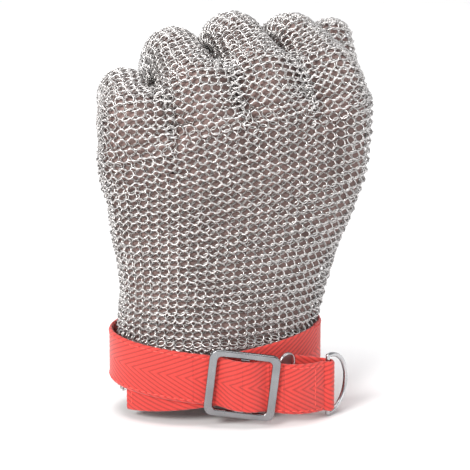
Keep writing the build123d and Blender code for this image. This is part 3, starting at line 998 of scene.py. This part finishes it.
def finger_root(name, step):
    """Sections of a finger's root inside the hand's crown, of its knuckle bend and of its first stall."""
    radii = FINGERS[name]["radii"]
    corner, middle = joint_place(f"{name}_knuckle_bend"), joint_place(f"{name}_middle_bend")
    axis, turn = closing_axis(f"{name}_knuckle_bend"), full_turn(f"{name}_knuckle_bend")
    reach = knuckle_reach(name)
    middle_reach = (radii[1] + BEND_SLACK) * math.tan(full_turn(f"{name}_middle_bend") / 2)
    up = np.array((0.0, 0.0, 1.0))
    back = -turned(up, axis, math.pi / 2)
    root = CROWN_LEVEL + CROWN_CLIMB * corner[0] - 2.0
    leg = straight_run((corner[0], corner[1], root), corner - up * reach, back, radii[0], radii[0], step)
    bend = BentRun(corner, up, axis, turn, reach, radii[0], back, step * KNUCKLE_SPREAD)
    away = turned(up, axis, turn)
    stall = straight_run(corner + away * reach, middle - away * middle_reach, turned(back, axis, turn),
                         radii[0], radii[1], step)
    return leg, bend, stall


class GLOVE_OT_fingers(bpy.types.Operator):
    """Knuckles, stalls, joints and tips of the four fingers"""
    bl_idname = "glove.fingers"
    bl_label = "Fingers"

    def execute(self, context):
        settings = context.scene.glove_mesh
        step = settings.row_pitch / MM
        roots = hand_spots(settings).chosen(lambda centres: ~below_crown(centres))
        for number, (name, finger) in enumerate(FINGERS.items()):
            seed = 10 * (number + 1)
            radii = finger["radii"]
            joints = [f"{name}_{part}_bend" for part in ("knuckle", "middle", "end")]
            corners = [joint_place(joint) for joint in joints]
            axis = closing_axis(joints[0])
            turns = [full_turn(joint) for joint in joints]
            reach = [(radius + BEND_SLACK) * math.tan(turn / 2) for radius, turn in zip(radii, turns)]
            ways = [np.array((0.0, 0.0, 1.0))]
            for turn in turns:
                ways.append(turned(ways[-1], axis, turn))
            backs = [-turned(way, axis, math.pi / 2) for way in ways]
            leg, bend, first_stall = finger_root(name, step)
            for i, section in enumerate(bend):
                section.climb = CROWN_CLIMB * max(0.0, 1 - 2 * i / len(bend))
            limit_sections(name, leg + bend, SIDE_LAP)
            limit_sections(name, first_stall, 0.0)
            own = roots.chosen(lambda centres: finger_of(centres) == number)
            first_row = knuckle_row(name, settings)
            pieces = make_piece(f"{name}_knuckle_mesh", bend, settings, seed, sheet_sections=leg + bend, also=own,
                                first_row=first_row)
            first_row += len(bend)
            blend_all(pieces, bend)
            bodies = ("hand", f"{name}_base", f"{name}_middle", f"{name}_tip")
            nodes = (("base_stall", "middle_joint_mesh"), ("middle_stall", "end_joint_mesh"))
            for i, (stall, joint_mesh) in enumerate(nodes, 1):
                start = corners[i - 1] + ways[i] * reach[i - 1]
                end = corners[i] - ways[i] * reach[i]
                run = first_stall if i == 1 else straight_run(
                    start, end, backs[i], radii[i - 1], radii[i], step)
                pieces = make_piece(f"{name}_{stall}", run, settings, seed + i, first_row=first_row)
                ride_all(pieces, bodies[i])
                first_row += len(run)
                run = BentRun(corners[i], ways[i], axis, turns[i], reach[i], radii[i], backs[i],
                              step * JOINT_SPREAD)
                pieces = make_piece(f"{name}_{joint_mesh}", run, settings, seed + i + 3, first_row=first_row)
                first_row += len(run)
                blend_all(pieces, run)
            start = corners[2] + ways[3] * reach[2]
            end = corners[2] + ways[3] * finger["last_bone"]
            run = straight_run(start, end, backs[3], radii[2], radii[3], step)
            pieces = make_piece(f"{name}_tip_stall", run, settings, seed + 7, dome=(end, radii[3]),
                                first_row=first_row)
            ride_all(pieces, bodies[3])
        return {"FINISHED"}


class GLOVE_OT_thumb(bpy.types.Operator):
    """Base, knuckle, stall, joint and tip of the thumb"""
    bl_idname = "glove.thumb"
    bl_label = "Thumb"

    def execute(self, context):
        settings = context.scene.glove_mesh
        step = settings.row_pitch / MM
        points = [np.array(THUMB_ROOT), joint_place("thumb_open"), joint_place("thumb_tip_bend"),
                  np.array(THUMB_END)]
        ways = [unit(end - start) for start, end in zip(points, points[1:])]
        back = np.array((0.0, -1.0, 0.0))
        axes = [unit(np.cross(first, second)) for first, second in zip(ways, ways[1:])]
        turns = [math.acos(first @ second) for first, second in zip(ways, ways[1:])]
        radii = THUMB_RADII
        reach = THUMB_REACH

        run = straight_run(points[0], points[1] - ways[0] * reach, back, radii[0], radii[1], step)
        ride_all(make_piece("thumb_base_mesh", run, settings, 51, settled=True), "hand")
        run = BentRun(points[1], ways[0], axes[0], turns[0], reach, radii[1], back, step)
        blend_all(make_piece("thumb_knuckle_mesh", run, settings, 52), run)
        start, end = points[1] + ways[1] * reach, points[2] - ways[1] * reach
        run = straight_run(start, end, back, radii[1], radii[2], step)
        ride_all(make_piece("thumb_stall", run, settings, 53), "thumb_base")
        run = BentRun(points[2], ways[1], axes[1], turns[1], reach, radii[2], back, step)
        blend_all(make_piece("thumb_joint_mesh", run, settings, 54), run)
        run = straight_run(points[2] + ways[2] * reach, points[3], back, radii[2], radii[3], step)
        tip = make_piece("thumb_tip_stall", run, settings, 55, dome=(points[3], radii[3]))
        ride_all(tip, "thumb_tip")
        return {"FINISHED"}


# --- the wrist strap -------------------------------------------------------------------------------
def lap_tangent():
    """Depth of the flat stretch's outer face, and how far along the front the round lap meets it."""
    out_x, out_y = math.sin(STRAP_TURN), -math.cos(STRAP_TURN)
    depth = math.hypot(out_x * LAP_HALF[0], out_y * LAP_HALF[1])
    touch_x = out_x * LAP_HALF[0] ** 2 / depth
    touch_y = out_y * LAP_HALF[1] ** 2 / depth
    return depth, -touch_x * out_y + touch_y * out_x


FRONT_DEPTH, FLAT_START = lap_tangent()
LOW = -(FRONT_DEPTH - WEBBING / 2)
HIGH = -(FRONT_DEPTH + LAYER_GAP + BUCKLE_PLATE + LAYER_GAP + WEBBING / 2)
TURN_MATRIX = np.array([[math.cos(STRAP_TURN), math.sin(STRAP_TURN)],
                        [-math.sin(STRAP_TURN), math.cos(STRAP_TURN)]])


def around_wrist(half, shift=0.0):
    """A round of the wrist in the strap's directions, through the middle of one layer of webbing."""
    turn = np.linspace(0, 2 * math.pi, WRIST_STEPS + 1)
    world = np.stack([
        shift + (half[0] - WEBBING / 2) * np.cos(turn), (half[1] - WEBBING / 2) * np.sin(turn)], axis=1)
    return world @ TURN_MATRIX.T


def front_layer(half, start, end):
    """The stretch of a layer on the front of the wrist, from place start to place end along the front."""
    path = around_wrist(half)
    low = np.argmin(path[:, 1])
    path = np.roll(path[:-1], -low - WRIST_STEPS // 2, axis=0)
    keep = (path[:, 1] < SPLIT_DEPTH) & (path[:, 0] >= start) & (path[:, 0] <= end)
    return path[keep]


def palm_layer():
    half = (BAND_HALF[0] + PALM_SHIFT, BAND_HALF[1])
    path = around_wrist(half, -PALM_SHIFT)
    high = np.argmax(path[:, 1])
    path = np.roll(path[:-1], -high - WRIST_STEPS // 2, axis=0)
    return path[path[:, 1] > SPLIT_DEPTH - 0.1]


def eased(path, rounds=3):
    """Corners cut round, with both ends kept."""
    path = np.array(path, float)
    for _ in range(rounds):
        quarter = path[:-1] * 0.75 + path[1:] * 0.25
        three = path[:-1] * 0.25 + path[1:] * 0.75
        path = np.concatenate([path[:1], np.stack([quarter, three], axis=1).reshape(-1, 2), path[-1:]])
    return path


def even_path(path, step):
    length = np.concatenate([[0], np.cumsum(np.linalg.norm(np.diff(path, axis=0), axis=1))])
    count = max(4, int(round(length[-1] / step)))
    wanted = np.linspace(0, length[-1], count + 1)
    return np.stack([np.interp(wanted, length, path[:, i]) for i in (0, 1)], axis=1), wanted


def to_world(points):
    """From the strap's directions to the glove's."""
    made = points.copy()
    made[..., :2] = points[..., :2] @ TURN_MATRIX
    return made


def lower_edge(path, level, slope, of_world=False):
    place = (path @ TURN_MATRIX)[:, 0] if of_world else path[:, 0]
    return level + slope * place


def webbing(name, path, level, slope, settings, run_from=0.0, of_world=False):
    """Webbing that stands on edge along a path seen from above, with woven ribs raised on both faces."""
    path, run = even_path(path, WEAVE_STEP)
    run = run + run_from
    way = unit(np.gradient(path, axis=0))
    out = np.stack([way[:, 1], -way[:, 0]], axis=1)
    rise = np.linspace(0, WEBBING_WIDTH, int(WEBBING_WIDTH / WEAVE_STEP) + 1)
    base = lower_edge(path, level, slope, of_world)
    pitch = settings.rib_pitch / MM
    angle = settings.rib_angle
    from_middle = np.abs(rise - WEBBING_WIDTH / 2)[None]
    rib = (from_middle * math.cos(angle) - run[:, None] * math.sin(angle)) / pitch
    crest = 1 - (2 * np.abs(rib - np.floor(rib) - 0.5)) ** 2.5
    from_edge = np.minimum(rise, WEBBING_WIDTH - rise)
    rounded = np.clip(1 - from_edge / SELVEDGE_ROUND, 0, 1)
    edge = np.sqrt(np.clip(1 - rounded**2, 0.12, 1))[None]
    rib_height = settings.rib_height / MM
    swell = (WEBBING / 2 - rib_height) * edge + crest * rib_height * edge
    faces = []
    for side in (1, -1):
        flat = path[:, None, :] + side * swell[..., None] * out[:, None, :]
        height = np.broadcast_to(base[:, None] + rise[None], swell.shape)
        faces.append(np.concatenate([flat, height[..., None]], axis=-1))
    grid = np.concatenate([faces[0], faces[1][:, ::-1]], axis=1)
    rows, columns = grid.shape[:2]
    quads = looped_quads(rows, columns, close_rows=False)
    half = len(rise)
    ends = []
    for row, flip in ((0, 1), (rows - 1, -1)):
        index = row * columns + np.arange(columns)
        front, behind = index[:half], index[half:][::-1]
        ends.append(np.stack([front[:-1], front[1:], behind[1:], behind[:-1]], axis=-1)[:, ::flip])
    quads = np.concatenate([quads, *ends])
    made = quad_mesh(name, to_world(grid).reshape(-1, 3), quads,
                     material_once("woven_webbing", woven_webbing, settings))
    places = np.stack([
        np.broadcast_to(run[:, None], (rows, columns)),
        np.broadcast_to(np.concatenate([rise, rise[::-1]])[None], (rows, columns))], axis=-1).reshape(-1, 2)
    weave = made.data.uv_layers.new(name="weave")
    weave.data.foreach_set("uv", places[quads.ravel()].astype(np.float32).ravel())
    return made


def hump_path():
    """Over the centre bar: up from under one side of the frame and down under the other."""
    near_bar = CENTRE_BAR / 2 + HUMP_TOP
    left = BUCKLE_ALONG - HUMP_HALF
    rising = eased([
        (left, LOW), (left + HUMP_FOOT, LOW), (BUCKLE_ALONG - near_bar, HIGH), (BUCKLE_ALONG, HIGH)])
    falling = rising[::-1].copy()
    falling[:, 0] = 2 * BUCKLE_ALONG - falling[:, 0]
    return rising, falling


def tail_path():
    """The strap's free end, easing back round the wrist to where it folds."""
    start = BUCKLE_ALONG + HUMP_HALF + UNDER_BAR
    shares = np.linspace(0, 1, 12)
    span = TAIL_END - RING_WIRE - start
    return np.stack([start + span * shares, LOW + TAIL_EASE * shares**2], axis=1)


def fold_path():
    """Round the straight bar of the ring and back behind the strap."""
    end = tail_path()[-1]
    ring_depth = end[1] + WEBBING / 2 + RING_WIRE / 2 + LAYER_GAP
    radius = RING_WIRE / 2 + LAYER_GAP + WEBBING / 2
    turn = np.linspace(-math.pi / 2, math.pi / 2, 16)
    arc = np.stack([TAIL_END + radius * np.cos(turn), ring_depth + radius * np.sin(turn)], axis=1)
    first, last = (end[0] + 0.3, ring_depth - radius), (TAIL_END - FOLD_BACK, ring_depth + radius)
    return np.concatenate([[first], arc, [last]])


def stitch_spots(path, level, slope, runs, rises, upright, of_world=False):
    """Centres and frames of stitches on the outer face of a stretch of webbing."""
    path, length = even_path(path, WEAVE_STEP)
    way = unit(np.gradient(path, axis=0))
    at = np.stack([np.interp(runs, length, path[:, i]) for i in (0, 1)], axis=1)
    along = unit(np.stack([np.interp(runs, length, way[:, i]) for i in (0, 1)], axis=1))
    out = np.stack([along[:, 1], -along[:, 0]], axis=1)
    height = lower_edge(at, level, slope, of_world) + rises
    place = to_world(np.column_stack([at + out * WEBBING / 2, height]))
    level_way = to_world(np.column_stack([along, np.zeros(len(runs))]))
    outward = to_world(np.column_stack([out, np.zeros(len(runs))]))
    up = np.broadcast_to((0.0, 0.0, 1.0), outward.shape)
    first, second = (up, level_way) if upright else (level_way, up)
    return place, np.stack([first, second, outward], axis=1)


def edge_stitches(path, level, slope, of_world=False):
    """Two rows along the webbing, one inside each edge."""
    length = even_path(path, WEAVE_STEP)[1][-1]
    count = max(1, int(length / STITCH_STEP))
    runs = (np.arange(count) + 0.5) * length / count
    rises = np.repeat([SELVEDGE, WEBBING_WIDTH - SELVEDGE], count)
    return stitch_spots(path, level, slope, np.tile(runs, 2), rises, False, of_world)


def cross_stitches(path, level, slope, run):
    """A row across the webbing, at one place along it."""
    rises = np.arange(SELVEDGE + STITCH_STEP, WEBBING_WIDTH - SELVEDGE, STITCH_STEP)
    return stitch_spots(path, level, slope, np.full(len(rises), run), rises, True)


def stitches(name, rows, settings):
    """One object with every stitch of some rows, each a small rounded bar of thread."""
    sides = 6
    turn = np.arange(sides) * 2 * math.pi / sides
    along = np.array([-1.0, -0.85, -0.4, 0.4, 0.85, 1.0])
    swell = np.array([0.35, 0.8, 1.0, 1.0, 0.8, 0.35])
    template = np.stack([
        np.broadcast_to(along[:, None] * STITCH[0], (len(along), sides)),
        swell[:, None] * np.cos(turn) * STITCH[1],
        swell[:, None] * np.sin(turn) * STITCH[2]], axis=-1)
    end = np.array([[0, 1, 2, 3], [0, 3, 4, 5]])
    far_end = end[:, ::-1] + sides * (len(along) - 1)
    quads = np.concatenate([looped_quads(len(along), sides, close_rows=False)[:, ::-1], end, far_end])
    centres, frames = (np.concatenate(part) for part in zip(*rows))
    made = scattered(name, template.reshape(-1, 3), quads, centres, frames,
                     material_once("stitch_thread", stitch_thread, settings))
    return made


class GLOVE_OT_strap(bpy.types.Operator):
    """Every stretch of the webbing wrist strap"""
    bl_idname = "glove.strap"
    bl_label = "Wrist Strap"

    def execute(self, context):
        settings = context.scene.glove_strap
        left, right = BUCKLE_ALONG - HUMP_HALF, BUCKLE_ALONG + HUMP_HALF
        outer = (STRAP_LEVEL, STRAP_SLOPE)
        join = right + UNDER_BAR

        inner_path = front_layer(BAND_HALF, INNER_END, 100.0)
        inner = webbing("inner_band_front_webbing", inner_path, INNER_LEVEL, INNER_SLOPE, settings)
        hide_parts("inner_band_front")
        palm = webbing("band_palm_side_webbing", palm_layer(), BACK_LEVEL, BACK_SLOPE, settings,
                       of_world=True)
        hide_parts("band_palm_side")
        rising, falling = hump_path()
        stretches = (
            ("strap_wrap", front_layer(LAP_HALF, -100.0, FLAT_START)),
            ("strap_flat", np.array([(FLAT_START, LOW), (left, LOW)])),
            ("strap_over_bar", rising),
            ("strap_over_bar_far", falling),
            ("strap_under_bar", np.array([(right, LOW), (join, LOW)])),
            ("strap_tail", tail_path()),
            ("strap_end_fold", fold_path()),
        )
        pieces = {}
        run = 0.0
        for name, path in stretches:
            pieces[name] = webbing(f"{name}_webbing", path, *outer, settings, run_from=run)
            run += np.linalg.norm(np.diff(path, axis=0), axis=1).sum()
            if name in frame["nodes"]:
                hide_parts(name)
        halves = [pieces.pop("strap_over_bar"), pieces.pop("strap_over_bar_far")]
        for piece in (inner, palm, *pieces.values()):
            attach(piece, "hand")
        paths = dict(stretches)
        rows = [edge_stitches(paths[name], *outer)
                for name in ("strap_wrap", "strap_flat", "strap_under_bar", "strap_tail")]
        rows.append(edge_stitches(palm_layer(), BACK_LEVEL, BACK_SLOPE, of_world=True))
        rows.append(cross_stitches(inner_path, INNER_LEVEL, INNER_SLOPE, END_SEAM))
        tail_length = even_path(paths["strap_tail"], WEAVE_STEP)[1][-1]
        fold_length = even_path(paths["strap_end_fold"], WEAVE_STEP)[1][-1]
        rows.append(cross_stitches(paths["strap_tail"], *outer, tail_length - FOLD_SEAM))
        rows.append(cross_stitches(paths["strap_end_fold"], *outer, fold_length - FOLD_BACK + FOLD_SEAM))
        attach(stitches("strap_stitches", rows, settings), "hand")
        middle = to_world(np.array([BUCKLE_ALONG, HIGH, 15.0])) * MM
        for piece, place in zip(halves, (left, right)):
            start = to_world(np.array([place, LOW, 15.0])) * MM
            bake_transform(piece)
        return {"FINISHED"}


class GLOVE_OT_fittings(bpy.types.Operator):
    """Finishes of the buckle, its bar, the ring, the rivets and their washers"""
    bl_idname = "glove.fittings"
    bl_label = "Steel Fittings"

    def execute(self, context):
        settings = context.scene.glove_strap
        buckle = rolled_steel("buckle_plate", settings.buckle_colour, 0.22, 900.0)
        wire = rolled_steel("drawn_wire", settings.fitting_colour, 0.24, 1500.0)
        rivet = rolled_steel("rivet_head", settings.fitting_colour, 0.3, 1100.0)
        repaint("buckle_frame", buckle)
        repaint("buckle_centre_bar", buckle)
        repaint("d_ring", wire)
        repaint("rivets", rivet)
        repaint("rivet_washers", rivet)
        return {"FINISHED"}


# --- the stage -------------------------------------------------------------------------------------
def soft_lamp(name, place, target, size, power, colour):
    lamp = bpy.data.lights.new(name, "AREA")
    lamp.shape = "DISK"
    lamp.size = size
    lamp.energy = power
    lamp.color = colour
    made = bpy.data.objects.new(name, lamp)
    made.location = place
    made.rotation_euler = (Vector(target) - Vector(place)).to_track_quat("-Z", "Y").to_euler()
    bpy.context.scene.collection.objects.link(made)


class GLOVE_OT_stage(bpy.types.Operator):
    """Pale floor, soft studio lamps and the camera"""
    bl_idname = "glove.stage"
    bl_label = "Stage"

    def execute(self, context):
        settings = context.scene.glove_stage
        floor_level = CAD_BOX[0][2] - 0.0004
        corners = np.array([(-1, -1), (1, -1), (1, 1), (-1, 1)]) * 1100.0
        points = np.column_stack([corners, np.full(4, floor_level / MM)])
        finish = Finish("pale_floor", settings.floor_colour, 0.9)
        cloud = finish.noise(2.0)
        finish.paint(colour=finish.tones(cloud, [(0.3, 0.985), (0.7, 1.0)]))
        floor = quad_mesh("floor", points, np.array([[0, 1, 2, 3]]), finish.material)

        world = bpy.data.worlds.new("studio")
        world.use_nodes = True
        nodes, links = world.node_tree.nodes, world.node_tree.links
        parts = nodes.new("ShaderNodeSeparateXYZ")
        links.new(nodes.new("ShaderNodeTexCoord").outputs["Generated"], parts.inputs["Vector"])
        ramp = nodes.new("ShaderNodeValToRGB")
        ramp.color_ramp.elements[0].position = 0.12
        ramp.color_ramp.elements[0].color = (0.95, 0.95, 0.95, 1.0)
        ramp.color_ramp.elements[1].position = 0.4
        ramp.color_ramp.elements[1].color = (0.36, 0.36, 0.37, 1.0)
        links.new(parts.outputs["Z"], ramp.inputs["Fac"])
        links.new(ramp.outputs["Color"], nodes["Background"].inputs["Color"])
        context.scene.world = world
        middle = (0.0, 0.0, 0.07)
        soft_lamp("key", (-1.05, -0.8, 0.85), middle, 0.6, 20.0 * settings.light, (1.0, 0.98, 0.96))
        soft_lamp("fill", (0.9, -0.8, 0.5), middle, 0.8, 3.0 * settings.light, (0.97, 0.98, 1.0))
        soft_lamp("top", (0.0, 0.2, 1.4), middle, 1.2, 18.0 * settings.light, (1.0, 1.0, 1.0))

        turn, lift = settings.azimuth, settings.elevation
        right = Vector((math.cos(turn), math.sin(turn), 0.0))
        ahead = Vector((-math.sin(turn) * math.cos(lift), math.cos(turn) * math.cos(lift), -math.sin(lift)))
        up = right.cross(ahead)
        place = ahead * -settings.distance + right * 0.0064 + up * 0.0594
        camera = bpy.data.objects.new("camera", bpy.data.cameras.new("camera"))
        axes = Matrix((right, up, -ahead)).transposed().to_4x4()
        camera.matrix_world = Matrix.Translation(place) @ axes
        camera.data.lens = settings.lens
        context.scene.collection.objects.link(camera)
        context.scene.camera = camera
        context.scene.view_settings.view_transform = "Standard"
        return {"FINISHED"}


class GLOVE_PT_panel(bpy.types.Panel):
    """The glove's settings and its pieces, in the sidebar"""
    bl_label = "Cut Resistant Glove"
    bl_idname = "GLOVE_PT_panel"
    bl_space_type = "VIEW_3D"
    bl_region_type = "UI"
    bl_category = "Glove"

    def draw(self, context):
        layout = self.layout
        for name in ("glove_mesh", "glove_strap", "glove_stage"):
            settings = getattr(context.scene, name)
            box = layout.box()
            for key in settings.__annotations__:
                box.prop(settings, key)
        for operator in OPERATORS:
            layout.operator(operator.bl_idname)


SETTINGS = {
    "glove_mesh": GloveMeshSettings,
    "glove_strap": GloveStrapSettings,
    "glove_stage": GloveStageSettings,
}
OPERATORS = (
    GLOVE_OT_stage, GLOVE_OT_hand, GLOVE_OT_fingers, GLOVE_OT_thumb, GLOVE_OT_strap, GLOVE_OT_fittings,
)


def register():
    for name, settings in SETTINGS.items():
        bpy.utils.register_class(settings)
        setattr(bpy.types.Scene, name, bpy.props.PointerProperty(type=settings))
    for operator in OPERATORS:
        bpy.utils.register_class(operator)
    bpy.utils.register_class(GLOVE_PT_panel)


def unregister():
    bpy.utils.unregister_class(GLOVE_PT_panel)
    for operator in OPERATORS:
        bpy.utils.unregister_class(operator)
    for name, settings in SETTINGS.items():
        delattr(bpy.types.Scene, name)
        bpy.utils.unregister_class(settings)


def main():
    register()
    measure_limbs()
    bpy.ops.glove.stage()
    bpy.ops.glove.hand()
    bpy.ops.glove.fingers()
    bpy.ops.glove.thumb()
    bpy.ops.glove.strap()
    bpy.ops.glove.fittings()


if __name__ == "__main__":
    main()
